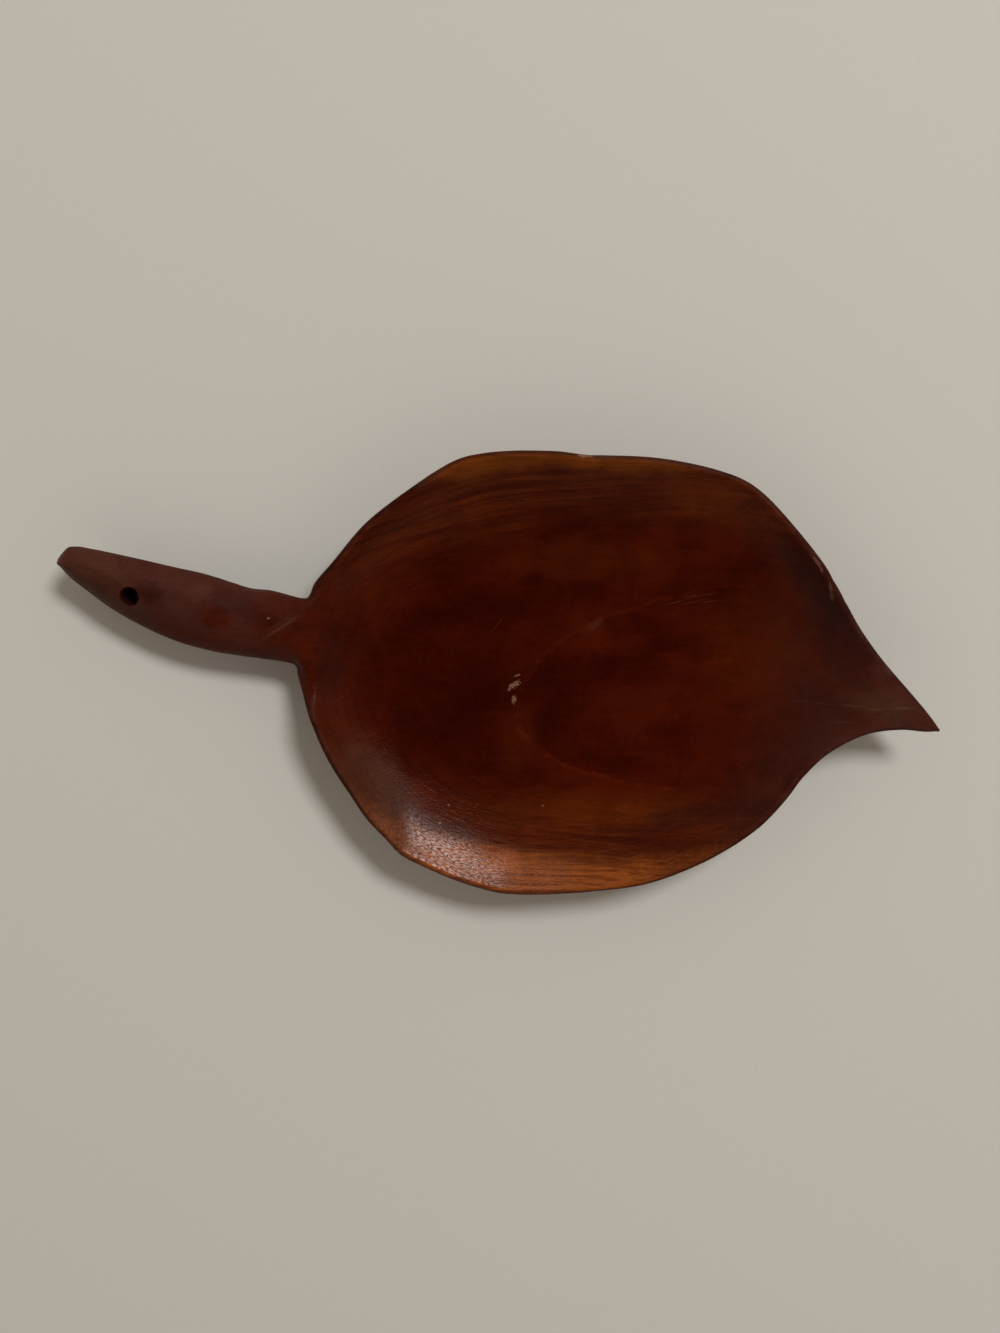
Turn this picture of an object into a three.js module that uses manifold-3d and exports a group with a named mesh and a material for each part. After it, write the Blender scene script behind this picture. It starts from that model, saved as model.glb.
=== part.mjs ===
// Leaf-shaped serving tray, carved from one board: a shallow dish that is drawn out to a solid tip,
// with a stem-like handle and a hanging hole in it.
// Millimetres, +Z up. +X runs from the handle to the tip, and the dish opens upwards.
// The origin is the centre of the planed foot, on the surface that the tray rests on.
import * as THREE from 'three';
import { mergeVertices } from 'three/addons/utils/BufferGeometryUtils.js';
import Module from 'manifold-3d';

// Plan sizes. The long axis runs from the handle's end to the tip.
const BLADE_LENGTH = 297;
const HANDLE_LENGTH = 115;
const BLADE_UPPER_REACH = 96.5;
const BLADE_LOWER_REACH = 115;
const HANDLE_UPPER_REACH = 9.4;
const HANDLE_LOWER_REACH = 27.3;
const NECK_UPPER_REACH = 5.3;
const NECK_LOWER_REACH = 27.7;
const NECK_TO_FOOT_CENTRE = 124;
const FOOT_CENTRE_TO_AXIS = 9;

// Heights and thicknesses of the dish
const RIM_HEIGHT = 28;
const FLOOR_THICKNESS = 7;
const FOOT_PLANED_DEPTH = 2.2;
const LIP_THICKNESS = 3.8;
const DISH_BACK_RAMP = 56;
const DISH_FRONT_RAMP = 62;
const RIM_RISE_LENGTH = 26;

// The solid tip, level with the rim
const TIP_FLAT_LENGTH = 34;
const TIP_THICKNESS = 3;
const TIP_ROOT_THICKNESS = 9;
const TIP_DROP = 2;

// The handle
const HANDLE_TOP_HEIGHT = 26.5;
const HANDLE_THICKNESS = 21;
const HANDLE_EDGE_THICKNESS = 9;
const HANDLE_END_THICKNESS = 15;
const HANDLE_END_EDGE_THICKNESS = 6;
const HANDLE_END_TAPER = 30;
const HANDLE_TO_DISH_START = 12;
const HOLE_DIAMETER = 8;
const HOLE_FROM_END = 37.5;
const HOLE_FROM_AXIS = 7.8;

// How full the section is: the power that the height follows from the spine to the edge
const DISH_FULLNESS = 3.6;
const HANDLE_FULLNESS = 2.2;

// Outlines. Each pair is a share of the length and a share of that edge's reach.
const BLADE_UPPER_SHAPE = [
  [0.003, 0.082], [0.007, 0.13], [0.034, 0.264], [0.057, 0.39], [0.076, 0.475], [0.128, 0.649],
  [0.19, 0.82], [0.223, 0.867], [0.274, 0.91], [0.344, 0.944], [0.38, 0.952], [0.467, 0.992],
  [0.521, 1], [0.576, 0.993], [0.615, 0.973], [0.652, 0.921], [0.754, 0.683], [0.794, 0.556],
  [0.842, 0.394], [0.889, 0.266], [0.971, 0.078], [0.993, 0.02],
];
const BLADE_LOWER_SHAPE = [
  [0.003, 0.268], [0.021, 0.354], [0.041, 0.439], [0.062, 0.529], [0.086, 0.612], [0.123, 0.719],
  [0.15, 0.792], [0.186, 0.863], [0.211, 0.912], [0.245, 0.943], [0.296, 0.977], [0.345, 0.995],
  [0.38, 1], [0.42, 0.988], [0.503, 0.939], [0.594, 0.862], [0.652, 0.778], [0.708, 0.668],
  [0.76, 0.524], [0.79, 0.391], [0.807, 0.289], [0.838, 0.167], [0.886, 0.068], [0.94, 0.023],
  [0.978, 0.014], [0.994, 0.006],
];
const HANDLE_UPPER_SHAPE = [
  [0.003, 0.22], [0.03, 0.78], [0.04, 0.88], [0.075, 0.985], [0.12, 1], [0.28, 0.93], [0.44, 0.845],
  [0.565, 0.8], [0.63, 0.715], [0.695, 0.59], [0.77, 0.485], [0.85, 0.56], [0.93, 0.49],
  [0.971, 0.461], [0.994, 0.52],
];
const HANDLE_LOWER_SHAPE = [
  [0.01, 0.05], [0.063, 0.225], [0.14, 0.4], [0.24, 0.615], [0.375, 0.813], [0.51, 0.95],
  [0.64, 1], [0.77, 0.99], [0.9, 0.963], [0.97, 0.957], [0.987, 0.97],
];

// Fineness of the faceted surface
const HANDLE_STATIONS = 18;
const BLADE_STATIONS = 58;
const STATION_CROWDING = 0.6;
const TOP_STEPS = 9;
const LIP_STEPS = 5;
const UNDERSIDE_STEPS = 7;
const EDGE_CROWDING = 0.7;
const HOLE_SIDES = 28;
const SPINE_INSET = 5;
const CUT_MARGIN = 5;
const MERGE_DISTANCE = 1e-4;

// Where the named places fall along X
const NECK_X = -NECK_TO_FOOT_CENTRE;
const TIP_X = NECK_X + BLADE_LENGTH;
const END_X = NECK_X - HANDLE_LENGTH;
const { lerp, smoothstep } = THREE.MathUtils;

// The edge's point at each pair, from one end of a blade or handle edge to the other
function edgeCurve(start, shape, end, fromX, length, reach) {
  const between = shape.map(([along, out]) => [fromX + along * length, FOOT_CENTRE_TO_AXIS + out * reach]);
  const points = [start, ...between, end].map(([x, y]) => new THREE.Vector3(x, y, 0));
  return new THREE.CatmullRomCurve3(points, false, 'centripetal');
}

// Shares from 0 to 1 that crowd together at both ends, where the outline turns fastest
function crowdedShares(count) {
  return Array.from({ length: count + 1 }, (_, i) => {
    const share = i / count;
    return share - STATION_CROWDING * Math.sin(2 * Math.PI * share) / (2 * Math.PI);
  });
}

// One long edge of the tray, as the points and outward normals at its stations
function edgeStations(side) {
  const upper = side > 0;
  const end = [END_X, FOOT_CENTRE_TO_AXIS];
  const neck = [NECK_X, FOOT_CENTRE_TO_AXIS + (upper ? NECK_UPPER_REACH : -NECK_LOWER_REACH)];
  const tip = [TIP_X, FOOT_CENTRE_TO_AXIS];
  const handle = upper
    ? edgeCurve(end, HANDLE_UPPER_SHAPE, neck, END_X, HANDLE_LENGTH, HANDLE_UPPER_REACH)
    : edgeCurve(end, HANDLE_LOWER_SHAPE, neck, END_X, HANDLE_LENGTH, -HANDLE_LOWER_REACH);
  const blade = upper
    ? edgeCurve(neck, BLADE_UPPER_SHAPE, tip, NECK_X, BLADE_LENGTH, BLADE_UPPER_REACH)
    : edgeCurve(neck, BLADE_LOWER_SHAPE, tip, NECK_X, BLADE_LENGTH, -BLADE_LOWER_REACH);
  const bladeEdgeLength = blade.getLength();
  const onHandle = crowdedShares(HANDLE_STATIONS).slice(0, -1)
    .map((share) => ({ point: handle.getPointAt(share), pastNeck: 0 }));
  const onBlade = crowdedShares(BLADE_STATIONS)
    .map((share) => ({ point: blade.getPointAt(share), pastNeck: share * bladeEdgeLength }));
  return [...onHandle, ...onBlade];
}

// X of the spine at each station: even along the handle, then even along the blade
function spineX() {
  const handle = crowdedShares(HANDLE_STATIONS).slice(0, -1)
    .map((share) => lerp(END_X + SPINE_INSET, NECK_X, share));
  const blade = crowdedShares(BLADE_STATIONS)
    .map((share) => lerp(NECK_X, TIP_X - SPINE_INSET, share));
  return [...handle, ...blade];
}

// How far the handle has grown from its thin end to its full section
function fromEnd(x) {
  return smoothstep(x, END_X, END_X + HANDLE_END_TAPER);
}

function handleThickness(x) {
  return lerp(HANDLE_END_THICKNESS, HANDLE_THICKNESS, fromEnd(x));
}

// Height of the upper surface over the spine: handle crown, dish floor, then the tip's flat
function crownHeight(x) {
  const endDrop = (HANDLE_THICKNESS - handleThickness(x)) / 2;
  const intoDish = smoothstep(x, NECK_X - HANDLE_TO_DISH_START, NECK_X + DISH_BACK_RAMP);
  const flatStart = TIP_X - TIP_FLAT_LENGTH;
  const intoTip = smoothstep(x, flatStart - DISH_FRONT_RAMP, flatStart);
  const floor = lerp(HANDLE_TOP_HEIGHT - endDrop, FLOOR_THICKNESS, intoDish);
  return lerp(floor, RIM_HEIGHT - TIP_DROP * smoothstep(x, flatStart, TIP_X), intoTip);
}

// Thickness under the spine, before the foot is planed
function spineThickness(x) {
  const intoDish = smoothstep(x, NECK_X - HANDLE_TO_DISH_START, NECK_X + DISH_BACK_RAMP);
  const flatStart = TIP_X - TIP_FLAT_LENGTH;
  const intoTip = smoothstep(x, flatStart - DISH_FRONT_RAMP, flatStart);
  const dish = lerp(handleThickness(x), FLOOR_THICKNESS + FOOT_PLANED_DEPTH, intoDish);
  return lerp(dish, lerp(TIP_ROOT_THICKNESS, TIP_THICKNESS, smoothstep(x, flatStart, TIP_X)), intoTip);
}

// The rounded edge at a station: its radius and the height of its centre
function roundedEdge(x, pastNeck) {
  const handleRadius = lerp(HANDLE_END_EDGE_THICKNESS, HANDLE_EDGE_THICKNESS, fromEnd(x)) / 2;
  const ontoRim = smoothstep(pastNeck, 0, RIM_RISE_LENGTH);
  const ontoTip = smoothstep(x, TIP_X - TIP_FLAT_LENGTH, TIP_X);
  const radius = lerp(lerp(handleRadius, LIP_THICKNESS / 2, ontoRim), TIP_THICKNESS / 2, ontoTip);
  const handleMiddle = HANDLE_TOP_HEIGHT - HANDLE_THICKNESS / 2;
  const height = lerp(handleMiddle, RIM_HEIGHT - TIP_DROP * ontoTip - radius, ontoRim);
  return { radius, height, ontoRim };
}

// A line across one half of the tray, from the spine's top out over the rounded edge to its bottom.
// Between the spine and the edge the height follows a power of the distance, and meets the edge's round.
function crossLine(spine, edge, outward, pastNeck) {
  const { radius, height, ontoRim } = roundedEdge(edge.x, pastNeck);
  const centre = edge.clone().addScaledVector(outward, -radius).setZ(height);
  const fullness = lerp(HANDLE_FULLNESS, DISH_FULLNESS, ontoRim);
  const width = Math.hypot(centre.x - spine.x, centre.y - spine.y);
  const topZ = crownHeight(spine.x);
  const bottomZ = topZ - spineThickness(spine.x);
  const topSlope = Math.atan(fullness * (height + radius - topZ) / width);
  const bottomSlope = Math.atan(fullness * (height - radius - bottomZ) / width);
  const roundPoint = (angle) => centre.clone()
    .addScaledVector(outward, radius * Math.cos(angle))
    .add(new THREE.Vector3(0, 0, radius * Math.sin(angle)));
  const firstAngle = Math.PI / 2 + topSlope;
  const lastAngle = bottomSlope - Math.PI / 2;
  const flank = (toward, spineZ, share) => {
    const point = new THREE.Vector3(spine.x, spine.y, spineZ).lerp(toward, share);
    return point.setZ(lerp(spineZ, toward.z, share ** fullness));
  };
  const shares = (steps) => Array.from({ length: steps }, (_, k) => (k / steps) ** EDGE_CROWDING);
  const top = shares(TOP_STEPS).map((share) => flank(roundPoint(firstAngle), topZ, share));
  const round = Array.from({ length: LIP_STEPS + 1 }, (_, k) => (
    roundPoint(lerp(firstAngle, lastAngle, k / LIP_STEPS))));
  const underside = shares(UNDERSIDE_STEPS).reverse()
    .map((share) => flank(roundPoint(lastAngle), bottomZ, share));
  return [...top, ...round, ...underside];
}

// One half of the tray as rows of points, one row to a station
function halfRows(side, stations, opposite, xs) {
  return stations.map(({ point, pastNeck }, i) => {
    const before = i > 0 ? stations[i - 1].point : opposite[1].point;
    const after = i < stations.length - 1 ? stations[i + 1].point : opposite[i - 1].point;
    const along = after.clone().sub(before).normalize();
    const outward = new THREE.Vector3(-along.y, along.x, 0).multiplyScalar(side);
    const spine = new THREE.Vector3(xs[i], (point.y + opposite[i].point.y) / 2, 0);
    return crossLine(spine, point, outward, pastNeck);
  });
}

// The triangles between neighbouring rows, wound so that they face out of the wood
function skin(rows, side) {
  const vertices = [];
  for (let i = 0; i + 1 < rows.length; i += 1) {
    for (let k = 0; k + 1 < rows[i].length; k += 1) {
      const corners = [rows[i][k], rows[i + 1][k], rows[i + 1][k + 1], rows[i][k + 1]];
      const order = side > 0 ? [0, 1, 2, 0, 2, 3] : [0, 2, 1, 0, 3, 2];
      order.forEach((corner) => vertices.push(...corners[corner].toArray()));
    }
  }
  return vertices;
}

// The carved wood before its foot is planed and its hole is drilled
function carvedBlank() {
  const upper = edgeStations(1);
  const lower = edgeStations(-1);
  const xs = spineX();
  const vertices = [
    ...skin(halfRows(1, upper, lower, xs), 1),
    ...skin(halfRows(-1, lower, upper, xs), -1),
  ];
  const geometry = new THREE.BufferGeometry();
  geometry.setAttribute('position', new THREE.Float32BufferAttribute(vertices, 3));
  return geometry;
}

// The block that the plane takes off below the resting surface
function planedWaste() {
  const depth = FOOT_PLANED_DEPTH + CUT_MARGIN;
  const width = BLADE_UPPER_REACH + BLADE_LOWER_REACH;
  const waste = new THREE.BoxGeometry(BLADE_LENGTH + HANDLE_LENGTH, width, depth);
  return waste.translate(0, 0, -depth / 2);
}

// The wood that the drill takes out of the handle
function drilledWaste() {
  const height = HANDLE_THICKNESS + 2 * CUT_MARGIN;
  const drill = new THREE.CylinderGeometry(HOLE_DIAMETER / 2, HOLE_DIAMETER / 2, height, HOLE_SIDES);
  const x = END_X + HOLE_FROM_END;
  const y = FOOT_CENTRE_TO_AXIS - HOLE_FROM_AXIS;
  return drill.rotateX(Math.PI / 2).translate(x, y, HANDLE_TOP_HEIGHT - HANDLE_THICKNESS / 2);
}

const wasm = await Module();
wasm.setup();

// A closed solid from a geometry, with the vertices that its triangles share merged
function solidOf(geometry) {
  geometry.deleteAttribute('normal');
  geometry.deleteAttribute('uv');
  const merged = mergeVertices(geometry, MERGE_DISTANCE);
  const vertProperties = Float32Array.from(merged.attributes.position.array);
  const triVerts = Uint32Array.from(merged.index.array);
  return new wasm.Manifold(new wasm.Mesh({ numProp: 3, vertProperties, triVerts }));
}

function geometryOf(solid) {
  const { vertProperties, triVerts } = solid.getMesh();
  const geometry = new THREE.BufferGeometry();
  geometry.setAttribute('position', new THREE.BufferAttribute(vertProperties, 3));
  geometry.setIndex(new THREE.BufferAttribute(triVerts, 1));
  geometry.computeVertexNormals();
  return geometry;
}

const darkHardwood = new THREE.MeshStandardMaterial({ color: 0x4a1c10, roughness: 0.42, metalness: 0 });

function carvedTray() {
  const carved = solidOf(carvedBlank());
  const planed = carved.subtract(solidOf(planedWaste()));
  const drilled = planed.subtract(solidOf(drilledWaste()));
  const mesh = new THREE.Mesh(geometryOf(drilled), darkHardwood);
  mesh.name = 'carved_tray';
  return mesh;
}

const tray = new THREE.Group();
tray.add(carvedTray());
export default tray;
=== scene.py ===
"""Leaf-shaped wooden serving tray, carved from one board of dark red-brown hardwood.

The carved wood is one surface on a grid: rows are stations along the tray, and columns run round each
cross-section, from the spine out over the rounded edge and back underneath. Metres, +Z up.
"""
import math

import bpy
import numpy as np
from bpy.props import FloatProperty, FloatVectorProperty, IntProperty, PointerProperty
from mathutils import Matrix, Vector


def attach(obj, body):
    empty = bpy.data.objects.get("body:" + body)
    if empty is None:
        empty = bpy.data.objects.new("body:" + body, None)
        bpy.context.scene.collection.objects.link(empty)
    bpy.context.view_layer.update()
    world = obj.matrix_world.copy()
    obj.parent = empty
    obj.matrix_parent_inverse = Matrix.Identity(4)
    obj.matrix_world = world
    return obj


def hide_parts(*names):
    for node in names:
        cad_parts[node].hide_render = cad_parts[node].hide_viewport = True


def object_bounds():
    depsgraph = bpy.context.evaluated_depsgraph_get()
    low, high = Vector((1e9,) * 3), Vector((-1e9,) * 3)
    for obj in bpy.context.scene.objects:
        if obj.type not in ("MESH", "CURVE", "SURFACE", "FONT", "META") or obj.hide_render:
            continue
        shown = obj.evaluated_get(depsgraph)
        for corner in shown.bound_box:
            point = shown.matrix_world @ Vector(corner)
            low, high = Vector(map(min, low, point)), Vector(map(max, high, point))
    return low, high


bl_info = {
    "name": "Carved leaf tray",
    "version": (1, 0, 0),
    "blender": (4, 5, 0),
    "location": "3D View > Sidebar > Tray",
    "description": "A leaf-shaped wooden serving tray with a handle, and a plain stage for it",
    "category": "Add Mesh",
}

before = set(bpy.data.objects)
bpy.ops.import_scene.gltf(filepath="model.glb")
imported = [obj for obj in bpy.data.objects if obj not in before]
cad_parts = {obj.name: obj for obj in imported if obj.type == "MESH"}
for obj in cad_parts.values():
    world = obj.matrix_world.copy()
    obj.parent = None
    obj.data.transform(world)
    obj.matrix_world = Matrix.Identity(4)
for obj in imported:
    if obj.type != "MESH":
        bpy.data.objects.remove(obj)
FRAME_LOW, FRAME_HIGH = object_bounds()

TRAY_NODE = "carved_tray"
TRAY_BODY = "root"

# Outlines of the four edges. Each pair is a share of the length and a share of that edge's reach.
BLADE_UPPER_SHAPE = (
    (0.003, 0.082), (0.007, 0.13), (0.034, 0.264), (0.057, 0.39), (0.076, 0.475), (0.128, 0.649),
    (0.19, 0.82), (0.223, 0.867), (0.274, 0.91), (0.344, 0.944), (0.38, 0.952), (0.467, 0.992),
    (0.521, 1.0), (0.576, 0.993), (0.615, 0.973), (0.652, 0.921), (0.754, 0.683), (0.794, 0.556),
    (0.842, 0.394), (0.889, 0.266), (0.971, 0.078), (0.993, 0.02),
)
BLADE_LOWER_SHAPE = (
    (0.003, 0.268), (0.021, 0.354), (0.041, 0.439), (0.062, 0.529), (0.086, 0.612), (0.123, 0.719),
    (0.15, 0.792), (0.186, 0.863), (0.211, 0.912), (0.245, 0.943), (0.296, 0.977), (0.345, 0.995),
    (0.38, 1.0), (0.42, 0.988), (0.503, 0.939), (0.594, 0.862), (0.652, 0.778), (0.708, 0.668),
    (0.76, 0.524), (0.79, 0.391), (0.807, 0.289), (0.838, 0.167), (0.886, 0.068), (0.94, 0.023),
    (0.978, 0.014), (0.994, 0.006),
)
HANDLE_UPPER_SHAPE = (
    (0.003, 0.22), (0.03, 0.78), (0.04, 0.88), (0.075, 0.985), (0.12, 1.0), (0.28, 0.93), (0.44, 0.845),
    (0.565, 0.8), (0.63, 0.715), (0.695, 0.59), (0.77, 0.485), (0.85, 0.56), (0.93, 0.49),
    (0.971, 0.461), (0.994, 0.52),
)
HANDLE_LOWER_SHAPE = (
    (0.01, 0.05), (0.063, 0.225), (0.14, 0.4), (0.24, 0.615), (0.375, 0.813), (0.51, 0.95),
    (0.64, 1.0), (0.77, 0.99), (0.9, 0.963), (0.97, 0.957), (0.987, 0.97),
)

# Small knocks in the wood: where they are, how far they reach along and across, and how deep they go
PALE_CHIPS = (
    ((-0.0231, -0.0079), (0.0032, 0.0042), 0.0005),
    ((-0.0222, -0.0155), (0.0016, 0.0024), 0.0004),
)
RIM_KNOCKS = (
    ((0.0985, 0.0797), (0.0016, 0.0024), 0.0002),
    ((0.1074, 0.0688), (0.0018, 0.0030), 0.0003),
    ((0.1148, 0.0600), (0.0015, 0.0026), 0.0002),
    ((-0.0146, 0.0998), (0.0060, 0.0022), 0.0007),
)


def metres(name, default, description):
    """A property in metres."""
    return FloatProperty(name=name, default=default, description=description, unit="LENGTH", precision=4)


def number(name, default, description):
    """A property without a unit."""
    return FloatProperty(name=name, default=default, description=description)


def whole(name, default, description):
    """A property that is a whole number, at least 1."""
    return IntProperty(name=name, default=default, description=description, min=1)


def degrees(name, default, description):
    """A property that is an angle. Its default is given in degrees."""
    return FloatProperty(name=name, default=math.radians(default), description=description, subtype="ANGLE")


def tint(name, default, description):
    """A colour property, given as it looks on screen, in shares of full red, green and blue."""
    return FloatVectorProperty(
        name=name, default=default, description=description, subtype="COLOR_GAMMA", size=3, min=0.0, max=1.0
    )


class TraySizes(bpy.types.PropertyGroup):
    """Plan sizes, heights and thicknesses of the carved wood."""

    blade_length: metres("Blade length", 0.297, "From the neck to the tip")
    handle_length: metres("Handle length", 0.115, "From the handle's end to the neck")
    blade_upper_reach: metres("Blade upper reach", 0.0965, "From the long axis to the +Y edge")
    blade_lower_reach: metres("Blade lower reach", 0.115, "From the long axis to the -Y edge")
    handle_upper_reach: metres("Handle upper reach", 0.0094, "From the long axis to the handle's +Y edge")
    handle_lower_reach: metres("Handle lower reach", 0.0273, "From the long axis to the handle's -Y edge")
    neck_upper_reach: metres("Neck upper reach", 0.0053, "From the long axis to the +Y notch")
    neck_lower_reach: metres("Neck lower reach", 0.0277, "From the long axis to the -Y notch")
    neck_to_foot: metres("Neck to foot", 0.124, "From the neck to the foot's centre")
    foot_to_axis: metres("Foot to axis", 0.009, "From the foot's centre to the long axis")
    rim_height: metres("Rim height", 0.028, "From the foot to the rim's top")
    floor_thickness: metres("Floor thickness", 0.007, "Wood under the middle of the dish")
    foot_planed: metres("Foot planed", 0.0022, "Depth that the plane took off the rounded underside")
    lip_thickness: metres("Lip thickness", 0.0038, "Across the rounded rim")
    back_ramp: metres("Back ramp", 0.056, "How far from the neck the dish reaches its floor")
    front_ramp: metres("Front ramp", 0.062, "How far the floor takes to rise to the tip")
    rim_rise: metres("Rim rise", 0.026, "Along the edge, from the notch to the full rim")
    tip_flat: metres("Tip flat", 0.034, "Length of the solid tip")
    tip_thickness: metres("Tip thickness", 0.003, "At the very tip")
    tip_root_thickness: metres("Tip root thickness", 0.009, "Where the tip's flat begins")
    tip_drop: metres("Tip drop", 0.002, "How far the tip lies under the rim")
    handle_top: metres("Handle top", 0.0265, "Height of the handle's crown")
    handle_thickness: metres("Handle thickness", 0.021, "Along the handle's middle")
    handle_edge: metres("Handle edge", 0.009, "Across the handle's rounded edges")
    end_thickness: metres("End thickness", 0.015, "At the handle's end")
    end_edge: metres("End edge", 0.006, "Across the rounded edge at the handle's end")
    end_taper: metres("End taper", 0.030, "Length over which the handle thins to its end")
    dish_start: metres("Dish start", 0.012, "How far before the neck the handle starts to fall into the dish")
    hole_diameter: metres("Hole diameter", 0.008, "The drilled hanging hole")
    hole_from_end: metres("Hole from end", 0.0375, "From the handle's end to the hole's centre")
    hole_from_axis: metres("Hole from axis", 0.0078, "From the long axis to the hole's centre")
    hole_wear: metres("Hole wear", 0.0006, "Radius of the hole's worn mouth on the upper face")
    hole_break: metres("Hole break", 0.0002, "Radius of the hole's mouth on the underside")
    hole_lean: metres("Hole lean", 0.0008, "How far the hole shifts along the tray on its way down")
    spine_inset: metres("Spine inset", 0.005, "How far inside the two ends the spine stops")
    wall_smoothing: whole("Wall smoothing", 240, "Passes that even out the walls")
    dish_fullness: number("Dish fullness", 3.6, "Power of the height from the spine to the rim")
    handle_fullness: number("Handle fullness", 2.2, "Power of the height from the spine to the handle's edge")
    handle_rows: whole("Handle rows", 160, "Stations along the handle")
    blade_rows: whole("Blade rows", 300, "Stations along the blade")
    flank_steps: whole("Flank steps", 44, "Columns from the spine to the edge")
    lip_steps: whole("Lip steps", 12, "Columns round the edge")


class WoodLook(bpy.types.PropertyGroup):
    """Colours of the oiled wood, as they look on screen."""

    heart_deep: tint("Deep heartwood", (0.150, 0.012, 0.002), "Darkest red of the dish's well")
    heart_red: tint("Red heartwood", (0.254, 0.059, 0.008), "Lighter red clouds in the well")
    ring_red: tint("Ring red", (0.355, 0.112, 0.026), "The paler growth ring in the well")
    wall_brown: tint("Wall brown", (0.246, 0.064, 0.010), "Main brown of the walls and the underside")
    warm_streak: tint("Warm streak", (0.345, 0.145, 0.022), "Orange-brown streaks towards the rim")
    golden: tint("Golden edge", (0.420, 0.205, 0.036), "Orange strip under the upper rim")
    # Also the painted shade along the rim's outline and on the hanging hole's wall
    dark_line_and_shade: tint("Dark line", (0.128, 0.030, 0.008), "Dark streaks, ring lines and pores")
    # Partly painted shade: it darkens the right wall, which faces away from the lamp
    dusky_and_shade: tint("Dusky purple", (0.166, 0.048, 0.034), "Purple-brown shades near the rim and the tip")
    sapwood: tint("Sapwood", (0.490, 0.252, 0.086), "The paler band along the lower rim")
    sapwood_line: tint("Sapwood line", (0.380, 0.178, 0.060), "Fine darker lines in the sapwood")
    # Painted sheen: a grey-brown that stands in for a pale reflection on the left wall
    dry_wall_sheen: tint("Dry wall", (0.262, 0.147, 0.096), "Grey-brown of the left wall")
    # Partly a painted sheen on the handle and the tip, partly the drier wood's own grey
    dry_film_and_sheen: tint("Dry film", (0.235, 0.136, 0.116), "Purple-grey of the handled, drier wood")
    bare_wood: tint("Bare wood", (0.600, 0.450, 0.370), "Pale wood in flecks and worn edges")


class StageLook(bpy.types.PropertyGroup):
    """The pale floor and the view."""

    floor_colour: tint("Floor", (0.755, 0.757, 0.742), "Plain pale floor")
    view_distance: metres("View distance", 0.45205, "From the camera to the middle of the rim's plane")
    view_tilt: degrees("View tilt", 10.0, "Lean of the view from overhead")
    view_roll: degrees("View roll", 10.73, "Turn of the view about its axis")
    lens: number("Lens", 27.0, "Focal length in millimetres")


# Keeps a length that something is divided by above zero
TINY = 1e-12


def smoothstep(value, low, high):
    """The S-curve 3q^2 - 2q^3 of how far value has gone from low to high."""
    q = np.clip((value - low) / (high - low), 0.0, 1.0)
    return q * q * (3.0 - 2.0 * q)


def mix(a, b, share):
    """The value that lies the share of the way from a to b."""
    return a + (b - a) * share


# Corners along each side of the noise's lattice, after which it repeats
LATTICE = 16


def value_noise(points, cell, seed):
    """Smooth random values from -1 to 1: random numbers on a lattice of the given cell sizes, with an
    S-curve blend between the eight corners round each point."""
    table = np.random.RandomState(seed).uniform(-1.0, 1.0, (LATTICE, LATTICE, LATTICE))
    q = points / np.asarray(cell)
    base = np.floor(q).astype(int)
    part = q - base
    part = part * part * (3.0 - 2.0 * part)
    total = np.zeros(points.shape[:-1])
    for corner in np.ndindex(2, 2, 2):
        weight = np.prod(np.where(np.array(corner) == 1, part, 1.0 - part), axis=-1)
        i, j, k = np.moveaxis((base + corner) % LATTICE, -1, 0)
        total += weight * table[i, j, k]
    return total


def spline(points, samples=40):
    """Centripetal Catmull-Rom curve: on each span a cubic whose end slopes come from its neighbours,
    with knots spaced by the square root of the chord."""
    p = np.asarray(points, float)
    p = np.vstack([2 * p[0] - p[1], p, 2 * p[-1] - p[-2]])
    knot = np.sqrt(np.linalg.norm(np.diff(p, axis=0), axis=1))[:, None]
    a, b, c, d = p[:-3], p[1:-2], p[2:-1], p[3:]
    before, here, after = knot[:-2], knot[1:-1], knot[2:]
    slope_b = ((b - a) / before - (c - a) / (before + here) + (c - b) / here) * here
    slope_c = ((c - b) / here - (d - b) / (here + after) + (d - c) / after) * here
    s = np.linspace(0.0, 1.0, samples, endpoint=False)[None, :, None]
    b, c, slope_b, slope_c = (v[:, None, :] for v in (b, c, slope_b, slope_c))
    curve = (2 * s**3 - 3 * s**2 + 1) * b + (s**3 - 2 * s**2 + s) * slope_b
    curve += (3 * s**2 - 2 * s**3) * c + (s**3 - s**2) * slope_c
    return np.vstack([curve.reshape(-1, p.shape[1]), p[-2]])


def spaced(curve, shares):
    """The curve's points at the given shares of its arc length, and that length."""
    run = np.concatenate([[0.0], np.cumsum(np.linalg.norm(np.diff(curve, axis=0), axis=1))])
    points = np.stack([np.interp(shares * run[-1], run, curve[:, k]) for k in range(2)], axis=1)
    return points, run[-1]


def crowded(steps, crowding=0.6):
    """Shares from 0 to 1 that crowd together at both ends: s - c sin(2 pi s) / (2 pi)."""
    s = np.linspace(0.0, 1.0, steps + 1)
    return s - crowding * np.sin(2 * np.pi * s) / (2 * np.pi)


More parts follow.
